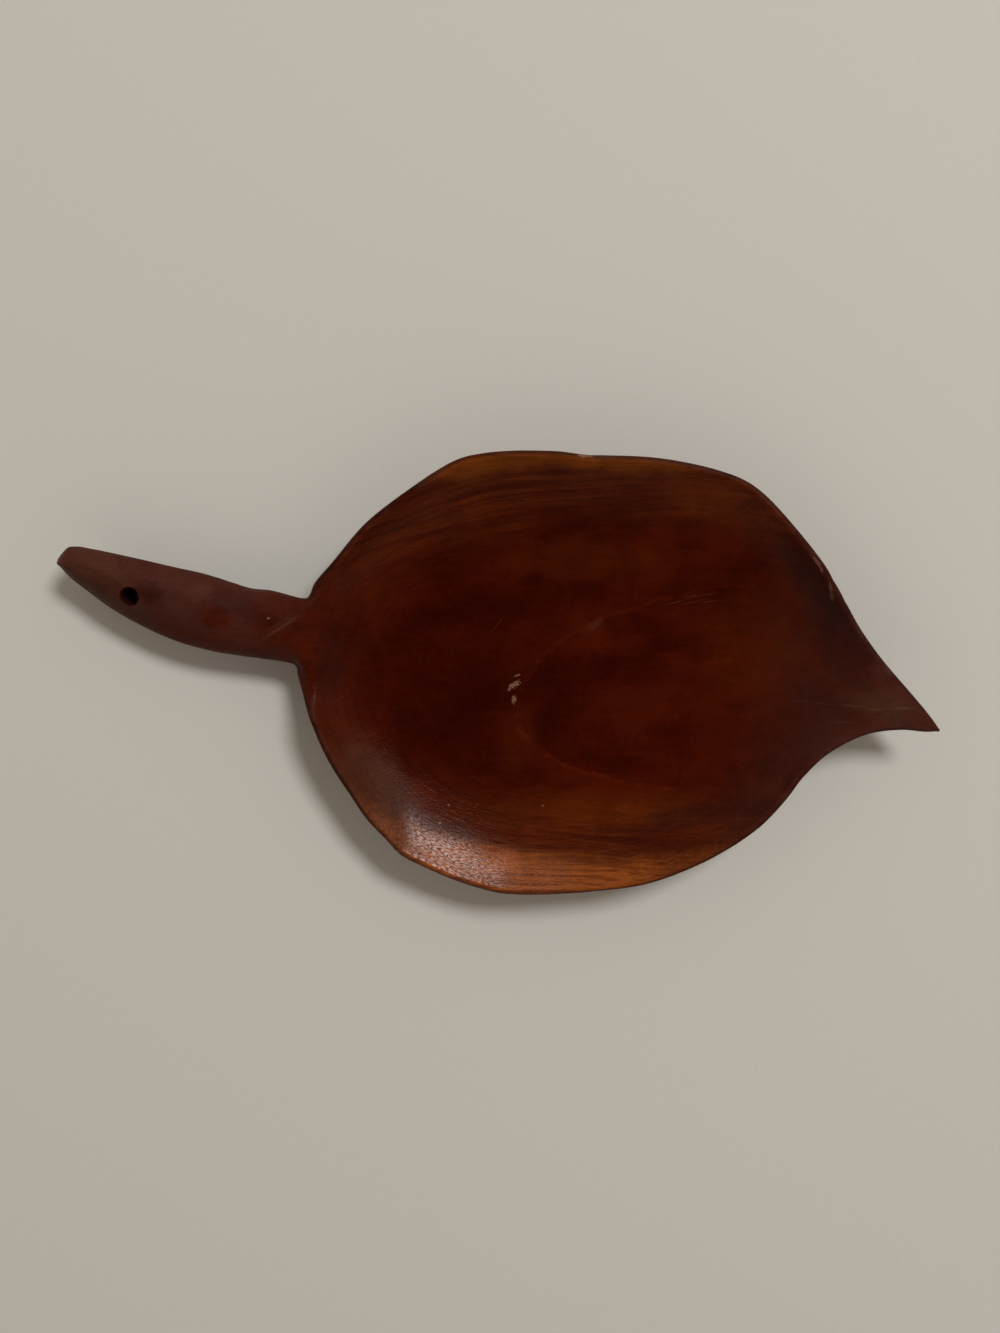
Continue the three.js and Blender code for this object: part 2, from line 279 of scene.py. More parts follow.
class Plan:
    """The outline seen from above: matching points of both edges, their normals and the spine between."""

    def __init__(self, z):
        self.neck_x = -z.neck_to_foot
        self.tip_x = self.neck_x + z.blade_length
        self.end_x = self.neck_x - z.handle_length
        self.axis_y = z.foot_to_axis
        on_handle = crowded(z.handle_rows)[:-1]
        on_blade = crowded(z.blade_rows)
        end, tip = (self.end_x, self.axis_y), (self.tip_x, self.axis_y)
        edges = []
        for handle_shape, handle_reach, neck, blade_shape, blade_reach in (
            (HANDLE_UPPER_SHAPE, z.handle_upper_reach, z.neck_upper_reach,
             BLADE_UPPER_SHAPE, z.blade_upper_reach),
            (HANDLE_LOWER_SHAPE, -z.handle_lower_reach, -z.neck_lower_reach,
             BLADE_LOWER_SHAPE, -z.blade_lower_reach),
        ):
            corner = (self.neck_x, self.axis_y + neck)
            handle = self._edge(end, handle_shape, corner, handle_reach)
            blade = self._edge(corner, blade_shape, tip, blade_reach)
            handle_points, _ = spaced(handle, on_handle)
            blade_points, blade_run = spaced(blade, on_blade)
            past_neck = np.concatenate([np.zeros(len(on_handle)), on_blade * blade_run])
            edges.append((np.vstack([handle_points, blade_points]), past_neck))
        (self.upper, self.upper_past), (self.lower, self.lower_past) = edges
        spine_x = np.concatenate([
            mix(self.end_x + z.spine_inset, self.neck_x, on_handle),
            mix(self.neck_x, self.tip_x - z.spine_inset, on_blade),
        ])
        self.spine = np.stack([spine_x, (self.upper[:, 1] + self.lower[:, 1]) / 2], axis=1)
        self.upper_out = self._outward(self.upper, self.lower, 1)
        self.lower_out = self._outward(self.lower, self.upper, -1)

    def _edge(self, start, shape, end, reach):
        """The curve from start to end through the shape's points, which reach to one side of the axis."""
        run = end[0] - start[0]
        between = [(start[0] + along * run, self.axis_y + out * reach) for along, out in shape]
        return spline([start, *between, end])

    @staticmethod
    def _outward(edge, other, side):
        """Unit normals: the run from the neighbour before to the one after, turned a quarter turn."""
        before = np.vstack([other[1], edge[:-1]])
        after = np.vstack([edge[1:], other[-2]])
        along = after - before
        along /= np.linalg.norm(along, axis=1, keepdims=True)
        return np.stack([-along[:, 1], along[:, 0]], axis=1) * side


def crown_and_thickness(z, plan, x):
    """Height of the upper surface over the spine, and the wood under it before the foot is planed.
    Both go by S-curves from the handle's value to the floor's, and from there to the tip's."""
    from_end = smoothstep(x, plan.end_x, plan.end_x + z.end_taper)
    into_dish = smoothstep(x, plan.neck_x - z.dish_start, plan.neck_x + z.back_ramp)
    flat_start = plan.tip_x - z.tip_flat
    into_tip = smoothstep(x, flat_start - z.front_ramp, flat_start)
    along_tip = smoothstep(x, flat_start, plan.tip_x)
    handle_thickness = mix(z.end_thickness, z.handle_thickness, from_end)
    handle_crown = z.handle_top - (z.handle_thickness - handle_thickness) / 2
    crown = mix(handle_crown, z.floor_thickness, into_dish)
    crown = mix(crown, z.rim_height - z.tip_drop * along_tip, into_tip)
    thickness = mix(handle_thickness, z.floor_thickness + z.foot_planed, into_dish)
    thickness = mix(thickness, mix(z.tip_root_thickness, z.tip_thickness, along_tip), into_tip)
    return crown, thickness


def rounded_edge(z, plan, x, past_neck):
    """Radius and centre height of the rounded edge, and how far it has risen onto the dish's rim."""
    from_end = smoothstep(x, plan.end_x, plan.end_x + z.end_taper)
    onto_rim = smoothstep(past_neck, 0.0, z.rim_rise)
    along_tip = smoothstep(x, plan.tip_x - z.tip_flat, plan.tip_x)
    radius = mix(mix(z.end_edge, z.handle_edge, from_end) / 2, z.lip_thickness / 2, onto_rim)
    radius = mix(radius, z.tip_thickness / 2, along_tip)
    handle_middle = z.handle_top - z.handle_thickness / 2
    height = mix(handle_middle, z.rim_height - z.tip_drop * along_tip - radius, onto_rim)
    return radius, height, onto_rim


def spine_shares(z):
    """Shares of the way from the spine to the edge, by (k / n)^0.9, a little closer near the edge."""
    return (np.arange(z.flank_steps) / z.flank_steps) ** 0.9


def half_sections(z, plan, edge, outward, past_neck):
    """Cross-lines of one half, as an array of rows by columns by XYZ. From the spine outwards the height
    follows a power of the share of the way to the edge. It meets an arc round the edge with the same
    slope, and the underside comes back in the same way."""
    radius, height, onto_rim = rounded_edge(z, plan, edge[:, 0], past_neck)
    centre = edge - outward * radius[:, None]
    fullness = mix(z.handle_fullness, z.dish_fullness, onto_rim)
    width = np.linalg.norm(centre - plan.spine, axis=1)
    crown, thickness = crown_and_thickness(z, plan, plan.spine[:, 0])
    under = crown - thickness
    first = np.pi / 2 + np.arctan(fullness * (height + radius - crown) / width)
    last = np.arctan(fullness * (height - radius - under) / width) - np.pi / 2

    def round_point(turn):
        """The point on the edge's arc at the turn, which is 0 where the arc faces outwards."""
        flat = centre + outward * (radius * np.cos(turn))[:, None]
        return np.column_stack([flat, height + radius * np.sin(turn)])

    def flank(toward, spine_height, share):
        """The point that lies the share of the way from the spine to a point of the arc."""
        flat = mix(plan.spine, toward[:, :2], share)
        return np.column_stack([flat, mix(spine_height, toward[:, 2], share**fullness)])

    shares = spine_shares(z)
    top = [flank(round_point(first), crown, share) for share in shares]
    arc = [round_point(mix(first, last, k / z.lip_steps)) for k in range(z.lip_steps + 1)]
    bottom = [flank(round_point(last), under, share) for share in shares[::-1]]
    return np.stack(top + arc + bottom, axis=1)


# Where the dish's walls are evened out: shares of the way from the spine to the edge, and distances from
# the neck and from the tip. The evening fades between the two values of each.
EVENED_SHARES = (0.55, 0.97)
EVENED_FROM_NECK = (-0.024, 0.006)
EVENED_FROM_TIP = (-0.070, -0.035)


def evened_walls(z, plan, points):
    """Inside the dish the contours lose the outline's corners, as a gouge leaves them: every pass moves a
    point a share of the way to the middle of its neighbours along the tray. The share is nothing at the
    rim and grows with the distance from it."""
    inner = 1.0 - smoothstep(spine_shares(z), *EVENED_SHARES)
    x = plan.spine[:, 0]
    inside_dish = smoothstep(x - plan.neck_x, *EVENED_FROM_NECK)
    inside_dish *= 1.0 - smoothstep(x - plan.tip_x, *EVENED_FROM_TIP)
    from_spine = np.arange(1 - z.flank_steps, z.flank_steps)
    wall = points[:, from_spine]
    pull = (inside_dish[1:-1, None] * inner[np.abs(from_spine)] / 2)[..., None]
    for _ in range(z.wall_smoothing):
        wall[1:-1] += pull * ((wall[:-2] + wall[2:]) / 2 - wall[1:-1])
    points[:, from_spine] = wall
    return points


def outward_normals(points):
    """Unit normals of the grid: the slope along the rows crossed with the slope round the columns."""
    along = np.gradient(points, axis=0)
    round_section = (np.roll(points, -1, axis=1) - np.roll(points, 1, axis=1)) / 2
    normal = np.cross(along, round_section)
    return normal / np.maximum(np.linalg.norm(normal, axis=2, keepdims=True), TINY)


# Normals that point further down than this belong to the underside, which the knocks don't reach
UNDERSIDE = -0.3


def knock_depths(points, normals, knocks):
    """How hard each point is hit: for every knock a bell curve of the distance in plan, times its depth."""
    total = np.zeros(points.shape[:2])
    for (x, y), (reach_x, reach_y), depth in knocks:
        q = ((points[..., 0] - x) / reach_x) ** 2 + ((points[..., 1] - y) / reach_y) ** 2
        total += depth * np.exp(-q)
    return total * (normals[..., 2] > UNDERSIDE)


# The hand's unevenness. Each kind has its depth, the cell sizes of its noise and the noise's seed.
GOUGE_HOLLOWS = (0.00015, (0.034, 0.017, 0.05), 3)
SWELLS = (0.00035, (0.075, 0.060, 0.09), 5)
COARSE_UNDERSIDE = (0.00030, (0.026, 0.020, 0.03), 8)
RIM_WAVER = (0.00028, (0.021, 0.021, 0.04), 11)
# Rows from either end of the tray over which the unevenness grows to its full depth
STILL_ROWS = (1, 12)


def hand_work(points, near_edge, normals):
    """Depth of the hand's unevenness, outwards: long shallow hollows left by the gouge, a rim that
    wavers, and a coarser underside. Each is a smooth noise with its own cell sizes."""

    def uneven(kind):
        """One kind of unevenness at every point."""
        depth, cell, seed = kind
        return depth * value_noise(points, cell, seed)

    depth = np.where(normals[..., 2] > 0, uneven(GOUGE_HOLLOWS), uneven(COARSE_UNDERSIDE))
    depth += uneven(SWELLS) + uneven(RIM_WAVER) * near_edge
    rows = np.arange(points.shape[0])
    from_ends = np.minimum(rows, rows[::-1])
    return depth * smoothstep(from_ends, *STILL_ROWS)[:, None]


def planed(points, softness=0.0004):
    """The foot: heights below the resting plane come up to it, with an edge that is slightly worn,
    by (z + sqrt(z^2 + w^2)) / 2."""
    flat = points.copy()
    flat[..., 2] = (points[..., 2] + np.sqrt(points[..., 2] ** 2 + softness**2)) / 2
    return flat


def fitted(points):
    """Each axis stretched a hair, so that the surface ends exactly at the frame's box."""
    low, high = points.reshape(-1, 3).min(axis=0), points.reshape(-1, 3).max(axis=0)
    share = (points - low) / (high - low)
    return mix(np.array(FRAME_LOW), np.array(FRAME_HIGH), share)


class HangingHole:
    """The drilled hole, which leans a little. On both faces of the handle a rectangle of the grid is drawn
    out into a circle, its cells are left out, and a tube with rounded mouths joins the two circles."""

    def __init__(self, z, plan, points):
        self.bore = z.hole_diameter / 2
        self.wear = {"upper": z.hole_wear, "under": z.hole_break}
        centre = np.array([plan.end_x + z.hole_from_end, plan.axis_y - z.hole_from_axis])
        self.centre = {"upper": centre, "under": centre + (z.hole_lean, 0.0)}
        self.ring = points.shape[1]
        self.row = int(np.argmin(np.abs(plan.spine[:, 0] - centre[0])))
        reach = z.flank_steps
        across = np.arange(-reach, reach + 1)
        self.column = int(across[np.argmin(np.abs(points[self.row, across % self.ring, 1] - centre[1]))])
        section = points[self.row]
        row_pitch = np.linalg.norm(points[self.row + 1, 0] - points[self.row - 1, 0]) / 2
        column_pitch = np.linalg.norm(section[self.column + 1] - section[self.column - 1]) / 2
        mouth = self.bore + z.hole_wear
        self.rows_half = max(2, round(mouth / row_pitch))
        self.columns_half = max(2, round(mouth / column_pitch))

    def columns(self, offsets, face):
        """Ring columns at the offsets across the handle, on the upper face or the underside."""
        return (offsets if face == "upper" else self.ring // 2 - offsets) % self.ring

    def draw_out(self, points, face, reach=2.3):
        """Moves grid points away from the hole's centre: those of the rectangle's rim onto the mouth's
        circle and those beyond it less and less. Their heights follow the slope of the surface."""
        i = np.arange(-int(reach * self.rows_half), int(reach * self.rows_half) + 1)
        j = np.arange(-int(reach * self.columns_half), int(reach * self.columns_half) + 1)
        index = np.ix_(self.row + i, self.columns(self.column + j, face))
        patch = points[index]
        order = np.maximum(np.abs(i)[:, None] / self.rows_half, np.abs(j)[None, :] / self.columns_half)
        offset = patch[..., :2] - self.centre[face]
        distance = np.maximum(np.linalg.norm(offset, axis=2), TINY)
        circle = (self.bore + self.wear[face]) * order
        target = mix(distance, circle, 1.0 - smoothstep(order, 1.0, reach))
        moved = self.centre[face] + offset * (target / distance)[..., None]
        di, dj = np.gradient(patch, axis=0), np.gradient(patch, axis=1)
        area = di[..., 0] * dj[..., 1] - di[..., 1] * dj[..., 0]
        slope_x = (di[..., 2] * dj[..., 1] - dj[..., 2] * di[..., 1]) / area
        slope_y = (dj[..., 2] * di[..., 0] - di[..., 2] * dj[..., 0]) / area
        step = moved - patch[..., :2]
        height = patch[..., 2] + slope_x * step[..., 0] + slope_y * step[..., 1]
        points[index] = np.concatenate([moved, height[..., None]], axis=2)

    def rim_index(self, face):
        """Row and ring column of the grid points that go round the mouth, in order."""
        a, b = self.rows_half, self.columns_half
        i = np.concatenate([np.arange(-a, a), np.full(2 * b, a), np.arange(a, -a, -1), np.full(2 * b, -a)])
        j = np.concatenate([np.full(2 * a, -b), np.arange(-b, b), np.full(2 * a, b), np.arange(b, -b, -1)])
        return self.row + i, self.columns(self.column + j, face)

    def left_out(self, shape):
        """True for the grid's cells inside either mouth."""
        cells = np.zeros(shape, bool)
        rows = self.row + np.arange(-self.rows_half, self.rows_half)
        across = self.column + np.arange(-self.columns_half, self.columns_half)
        cells[np.ix_(rows, across % self.ring)] = True
        cells[np.ix_(rows, (self.ring // 2 - across - 1) % self.ring)] = True
        return cells

    def tube(self, points, mouth_steps=5, bore_steps=9):
        """Rings down the hole: a quarter round at each mouth and a straight bore between them."""
        upper, under = points[self.rim_index("upper")], points[self.rim_index("under")]
        turn = np.linspace(0.0, np.pi / 2, mouth_steps + 1)[1:]
        out, down = 1.0 - np.sin(turn), 1.0 - np.cos(turn)
        along = np.linspace(0.0, 1.0, bore_steps + 1)[1:-1]
        wear, slight = self.wear["upper"], self.wear["under"]
        rings = [(0.0, wear * r, -wear * d) for r, d in zip(out, down)]
        rings += [(share, 0.0, mix(-wear, slight, share)) for share in along]
        rings += [(1.0, slight * r, slight * d) for r, d in zip(out[::-1], down[::-1])]
        result = []
        for share, beyond, rise in rings:
            centre = mix(self.centre["upper"], self.centre["under"], share)
            flat = mix(upper[:, :2], under[:, :2], share) - centre
            flat *= ((self.bore + beyond) / np.linalg.norm(flat, axis=1))[:, None]
            result.append(np.column_stack([flat + centre, mix(upper[:, 2], under[:, 2], share) + rise]))
        return np.stack(result)


# The rim's edge mask fades between these distances from the middle of the edge
RIM_EDGE = (0.0010, 0.0034)
# Handled wood, which is drier and carries a grey film that is partly a painted sheen: it fades between
# these distances from the neck and from the tip
HANDLED_FROM_NECK = (-0.040, 0.020)
HANDLED_FROM_TIP = (-0.102, -0.025)


def surface_masks(plan, x, from_edge, near_edge):
    """Numbers at the grid's points that the wood's material reads: the rim's edge, handled wood, the run
    along the edge past the neck, the distance from the edge, and the hole's wall, which isn't on the grid."""
    ring = x.shape[1]
    onto_handle = 1.0 - smoothstep(x - plan.neck_x, *HANDLED_FROM_NECK)
    onto_tip = smoothstep(x - plan.tip_x, *HANDLED_FROM_TIP)
    edge_run = np.repeat(plan.upper_past[:, None], ring, axis=1)
    edge_run[:, ring // 2:] = plan.lower_past[:, None]
    return {
        "rim_edge": near_edge,
        "handled": np.maximum(onto_handle, onto_tip),
        "edge_run": edge_run,
        "edge_distance": from_edge,
        "bored": np.zeros_like(from_edge),
    }


# The same masks on the hole's wall, where they aren't 0
TUBE_MASKS = {"handled": 1.0, "bored": 1.0}


def carved_grid(z, plan):
    """The grid of the carved wood before the hole is drilled, each point's distance from the middle of
    the edge, and how near the edge it is."""
    upper = half_sections(z, plan, plan.upper, plan.upper_out, plan.upper_past)
    lower = half_sections(z, plan, plan.lower, plan.lower_out, plan.lower_past)
    points = evened_walls(z, plan, np.concatenate([upper, lower[:, -2:0:-1]], axis=1))
    middle_of_edge = z.flank_steps + z.lip_steps // 2
    edge_columns = (middle_of_edge, points.shape[1] - middle_of_edge)
    from_edge = np.minimum(*(np.linalg.norm(points - points[:, [k]], axis=2) for k in edge_columns))
    near_edge = 1.0 - smoothstep(from_edge, *RIM_EDGE)
    normals = outward_normals(points)
    depth = hand_work(points, near_edge, normals)
    depth -= knock_depths(points, normals, PALE_CHIPS + RIM_KNOCKS)
    return fitted(planed(points + normals * depth[..., None])), from_edge, near_edge


def carved_tray_surface(z):
    """Points, four-sided faces and surface masks of the whole tray."""
    plan = Plan(z)
    points, from_edge, near_edge = carved_grid(z, plan)
    rows, ring, _ = points.shape
    hole = HangingHole(z, plan, points)
    hole.draw_out(points, "upper")
    hole.draw_out(points, "under")
    tube = hole.tube(points)
    tube_count = tube.shape[0] * tube.shape[1]

    # At both ends of the tray the two halves meet in one line, so the second uses the first's points
    index = np.arange(rows * ring).reshape(rows, ring)
    for row in (0, -1):
        index[row, ring // 2 + 1:] = index[row, 1:ring // 2][::-1]
    after = np.roll(index, -1, axis=1)
    cells = np.stack([index[:-1], index[1:], after[1:], after[:-1]], axis=2)
    cells = cells[~hole.left_out(cells.shape[:2])]

    tube_index = rows * ring + np.arange(tube_count).reshape(tube.shape[:2])
    loops = np.vstack([index[hole.rim_index("upper")], tube_index, index[hole.rim_index("under")]])
    turned = np.roll(loops, -1, axis=1)
    wall = np.stack([loops[:-1], turned[:-1], turned[1:], loops[1:]], axis=2).reshape(-1, 4)

    # Points that no face uses are left out
    every_point = np.vstack([points.reshape(-1, 3), tube.reshape(-1, 3)])
    used, faces = np.unique(np.vstack([cells, wall]), return_inverse=True)
    masks = {
        name: np.append(grid, np.full(tube_count, TUBE_MASKS.get(name, 0.0)))[used]
        for name, grid in surface_masks(plan, points[..., 0], from_edge, near_edge).items()
    }
    return every_point[used], faces.reshape(-1, 4), masks


def mesh_object(name, points, faces, masks=()):
    """A smooth object at the origin from points, faces and one number per point for each mask."""
    mesh = bpy.data.meshes.new(name)
    mesh.from_pydata(points.tolist(), [], faces.tolist())
    for mask, values in dict(masks).items():
        mesh.attributes.new(mask, "FLOAT", "POINT").data.foreach_set("value", values.astype(np.float32))
    mesh.polygons.foreach_set("use_smooth", np.ones(len(mesh.polygons), bool))
    mesh.update()
    piece = bpy.data.objects.new(name, mesh)
    bpy.context.scene.collection.objects.link(piece)
    return piece


def linear(screen):
    """Linear light for a colour given as it looks on screen."""
    c = np.asarray(screen, float)
    return (*np.where(c <= 0.04045, c / 12.92, ((c + 0.055) / 1.055) ** 2.4).tolist(), 1.0)


# The distance from an ellipsoid's middle is counted up to this many of its half sizes
REACH = 4.0
# Sockets of the node that blends colours: the share, the two colours, and the result
BLEND_INPUTS = (0, 6, 7)
BLEND_RESULT = 2
# Group sockets that hold vectors. The others hold numbers.
VECTOR_SOCKETS = ("Place", "Along Grain")


class Value:
    """An output socket. Arithmetic with it adds a node and gives that node's output."""

    def __init__(self, wiring, socket):
        self.wiring = wiring
        self.socket = socket

    def __add__(self, other):
        return self.wiring.math("ADD", self, other)

    def __sub__(self, other):
        return self.wiring.math("SUBTRACT", self, other)

    def __rsub__(self, other):
        return self.wiring.math("SUBTRACT", other, self)

    def __mul__(self, other):
        return self.wiring.math("MULTIPLY", self, other)

    def __abs__(self):
        return self.wiring.math("ABSOLUTE", self)


class Wiring:
    """Adds nodes to one tree and joins them. The order of the nodes matters for the room that the wood
    takes to render, so a value is made shortly before its use."""

    def __init__(self, tree):
        self.tree = tree

    def feed(self, socket, value):
        """Links the socket to a Value, or sets it to anything else."""
        if isinstance(value, Value):
            self.tree.links.new(value.socket, socket)
        else:
            socket.default_value = value

    def node(self, kind, inputs=(), **settings):
        """A new node with its settings and inputs."""
        node = self.tree.nodes.new(kind)
        for name, value in settings.items():
            setattr(node, name, value)
        for name, value in dict(inputs).items():
            self.feed(node.inputs[name], value)
        return node

    def add(self, kind, inputs=(), output=0, **settings):
        """One output of a new node."""
        return Value(self, self.node(kind, inputs, **settings).outputs[output])

    def outputs(self, node):
        """All outputs of a node by name."""
        return {socket.name: Value(self, socket) for socket in node.outputs}

    def group(self, tree, **inputs):
        """The outputs of a node that uses a group."""
        named = {name.replace("_", " "): value for name, value in inputs.items()}
        return self.outputs(self.node("ShaderNodeGroup", node_tree=tree, inputs=named))

    def math(self, operation, *values, clamp=False):
        """One number worked out from others."""
        return self.add("ShaderNodeMath", enumerate(values), operation=operation, use_clamp=clamp)

    def vector(self, operation, *values):
        """One vector, or a vector's length, worked out from vectors."""
        output = "Value" if operation == "LENGTH" else "Vector"
        return self.add("ShaderNodeVectorMath", enumerate(values), output, operation=operation)

    def parts(self, vector):
        """The X, Y and Z of a vector."""
        return self.outputs(self.node("ShaderNodeSeparateXYZ", {"Vector": vector})).values()

    def combined(self, x, y, z=0.0):
        """A vector from its X, Y and Z."""
        return self.add("ShaderNodeCombineXYZ", {"X": x, "Y": y, "Z": z})

    def attribute(self, name):
        """One of the surface masks."""
        return self.add("ShaderNodeAttribute", output="Fac", attribute_name=name)

    def placed(self, place, location=(0, 0, 0), rotation=(0, 0, 0), scale=(1, 1, 1)):
        """The place scaled, then turned, then moved."""
        inputs = {"Vector": place, "Location": location, "Rotation": rotation, "Scale": scale}
        return self.add("ShaderNodeMapping", inputs)

    def placed_in(self, place, middle, half, turn=0.0):
        """The place as seen from an ellipsoid, turned about the vertical: its surface is at length 1."""
        inputs = {"Vector": place, "Location": middle, "Rotation": (0, 0, turn), "Scale": half}
        return self.add("ShaderNodeMapping", inputs, vector_type="TEXTURE")

    def distance(self, place, ellipsoids):
        """How far the place is from the nearest ellipsoid's middle, in half sizes, up to REACH. Each has a
        middle, half sizes and a turn in degrees. A ball's gradient falls from 1 in its middle to 0 there."""
        nearness = 0.0
        for middle, half, turn in ellipsoids:
            inside = self.placed_in(place, middle, [REACH * size for size in half], math.radians(turn))
            ball = self.add("ShaderNodeTexGradient", {"Vector": inside}, "Fac", gradient_type="SPHERICAL")
            nearness = self.math("MAXIMUM", nearness, ball)
        return self.math("MULTIPLY_ADD", nearness, -REACH, REACH)

    def noise(self, place, scale, detail=2.0, roughness=0.5, distortion=0.0):
        """Noise from 0 to 1 at a place. The scale is its waves per metre."""
        inputs = {"Vector": place, "Scale": scale, "Detail": detail, "Roughness": roughness,
                  "Distortion": distortion}
        return self.add("ShaderNodeTexNoise", inputs, "Fac")

    def stretched(self, place, scales, detail, roughness, distortion=0.0):
        """Noise with its own scale along each axis."""
        return self.noise(self.placed(place, scale=scales), 1.0, detail, roughness, distortion)

    def along_rim(self, along, across, detail):
        """Noise drawn out along the rim, as a scraper leaves it on the dish's walls. The two numbers are
        its waves per metre along the rim and away from it."""
        place = self.combined(self.attribute("edge_run") * along, self.attribute("edge_distance") * across)
        return self.noise(place, 1.0, detail, 0.6)

    def bands(self, value, scale, detail, roughness):
        """Noise along a single number."""
        inputs = {"W": value, "Scale": scale, "Detail": detail, "Roughness": roughness}
        return self.add("ShaderNodeTexNoise", inputs, "Fac", noise_dimensions="1D")

    def wander(self, place, scale, detail, amounts):
        """A shift that wanders with the place, by up to half the amounts either way."""
        inputs = {"Vector": place, "Scale": scale, "Detail": detail}
        noise = self.add("ShaderNodeTexNoise", inputs, "Color")
        return self.vector("MULTIPLY", self.vector("SUBTRACT", noise, (0.5, 0.5, 0.5)), amounts)

    def span(self, value, low, high, to_low=0.0, to_high=1.0):
        """An S-curve from to_low to to_high while the value goes from low to high. It never leaves that
        range, so it needs no clamp, and without one the material takes much less room to render."""
        inputs = {"Value": value, "From Min": low, "From Max": high, "To Min": to_low, "To Max": to_high}
        return self.add("ShaderNodeMapRange", inputs, interpolation_type="SMOOTHSTEP", clamp=False)

    def blend(self, share, a, b, blend_type="MIX"):
        """Two colours blended. One that isn't a Value is given as it looks on screen."""
        colours = [c if isinstance(c, Value) else linear(c) for c in (a, b)]
        inputs = zip(BLEND_INPUTS, (share, *colours))
        return self.add("ShaderNodeMix", inputs, BLEND_RESULT, data_type="RGBA", blend_type=blend_type)

    def layered(self, base, *layers):
        """The base with colours laid over it in turn, each as a mask, the most that it covers and itself."""
        for mask, most, over in layers:
            base = self.blend(mask * most, base, over)
        return base

    def toned(self, base, value, low, high, darkest, lightest):
        """The base colour, darker or lighter as the value goes from low to high."""
        grey = self.span(value, low, high, darkest, lightest)
        return self.blend(1.0, base, self.combined(grey, grey, grey), "MULTIPLY")


def node_group(name, inputs, outputs):
    """An empty shader group with the named sockets, its wiring, its inputs by name, and a function that
    gives an output its value."""
    group = bpy.data.node_groups.new(name, "ShaderNodeTree")
    for way, sockets in (("INPUT", inputs), ("OUTPUT", outputs)):
        for socket in sockets:
            kind = "NodeSocketVector" if socket in VECTOR_SOCKETS else "NodeSocketFloat"
            group.interface.new_socket(socket, in_out=way, socket_type=kind)
    w = Wiring(group)
    given = w.outputs(w.node("NodeGroupInput"))
    results = w.node("NodeGroupOutput").inputs

    def give(output, value):
        """Feeds one of the group's outputs."""
        w.feed(results[output], value)

    return group, w, given, give


# The grain is turned this far from the tray's long axis
GRAIN_TURN = math.radians(10.73)
# Growth rings: the middle of their figure in grain coordinates, the depth of the tree's heart below it,
# and how much slower they change along the grain than across it
FIGURE_MIDDLE = (0.040, -0.0127)
HEART_DEPTH = 0.060
FIGURE_STRETCH = 0.59
# One paler ring shows in the well: its near end in grain coordinates, then the half sizes of the
# ellipses that it follows over and under that end
PALE_RING_END = (-0.0236, -0.0185)
PALE_RING_OVER = (0.130, 0.062)
PALE_RING_UNDER = (0.085, 0.037)
# The paler ring's line and the lighter wood beside it fade between these distances from the ellipses.
# Over its end they are fainter by the shares, and the change takes this far on either side of the end.
PALE_LINE = (0.0013, 0.0002)
BESIDE_NEAR = (-0.0002, 0.0012)
BESIDE_FAR = (0.0100, 0.0020)
LINE_FAINTER = 0.4
BESIDE_FAINTER = 0.8
PALE_RING_TURN = 0.002
# A half size that makes an ellipsoid in grain coordinates go right through the board
THROUGH = 1.0
# The well of the dish, where the oil has soaked in: an ellipsoid in grain coordinates, and the distances
# from its middle, in half sizes, between which it fades
WELL_MIDDLE = (0.020, 0.006, 0.010)
WELL_HALF = (0.118, 0.074, 0.060)
WELL_EDGE = (1.14, 0.80)
# The sapwood's edge, a parabola in grain coordinates, and how far along the grain it bends
SAPWOOD_NEAREST = (0.015, -0.0895)
SAPWOOD_BEND = 2.6
SAPWOOD_START = -0.100
# The height at which the edge lies on the parabola, how far it moves for every metre above that, and how
# much the fibres fray it
SAPWOOD_LEVEL = 0.020
SAPWOOD_SLANT = 0.35
SAPWOOD_FRAY = 0.007
# Depths in the sapwood between which it and the dark border before it fade in and out
SAPWOOD_EDGE = (-0.0062, 0.0058)
BORDER_IN = (-0.012, -0.002)
BORDER_OUT = (0.001, -0.002)
# Along the grain the sapwood is weaker towards both ends: from, to, and the shares there
SAPWOOD_ENDS = ((-0.112, -0.078, 0.40, 1.0), (0.066, 0.020, 0.35, 1.0))
# Soft places of the board, each an ellipse in grain coordinates: middle, half sizes and turn in degrees.
# Deep, warm and golden ones are shades of the wood, but one warm one is painted light. The purple-brown
# ones are shades too, and the first two of them are painted shade. Dry ones are duller and carry a grey
# painted sheen, and polished ones sparkle. They fade between two distances from the middle, in half sizes.
SOFT_EDGE = (1.35, 0.35)
DEEP_SHADES = (
    ((-0.0016, -0.0151), (0.017, 0.030), 0),
    ((0.0190, -0.0420), (0.030, 0.008), -10),
    ((-0.0530, -0.0078), (0.040, 0.038), 0),
    ((-0.0420, 0.0290), (0.040, 0.010), 6),
    ((0.0466, 0.0138), (0.019, 0.005), 12),
    ((-0.0636, 0.0516), (0.011, 0.007), 0),
    ((0.0480, -0.0280), (0.012, 0.007), 0),
    ((-0.1000, 0.0220), (0.010, 0.016), 0),
    ((-0.1385, 0.0290), (0.018, 0.0035), -12),
    ((0.0340, 0.0010), (0.022, 0.010), -5),
    ((-0.0930, -0.0060), (0.010, 0.020), 0),
    ((0.0800, -0.0590), (0.022, 0.007), 12),
)
DUSKY_AND_SHADED_PLACES = (
    # The first two are painted shade on the right wall, which faces away from the lamp
    ((0.1085, 0.0470), (0.022, 0.0060), -54),
    ((0.1265, 0.0150), (0.028, 0.0105), -68),
    ((0.0641, -0.0668), (0.034, 0.0055), 14),
    ((-0.1097, 0.0063), (0.008, 0.020), 0),
    ((-0.1515, 0.0350), (0.018, 0.007), -15),
    ((-0.1880, 0.0400), (0.007, 0.006), 0),
)
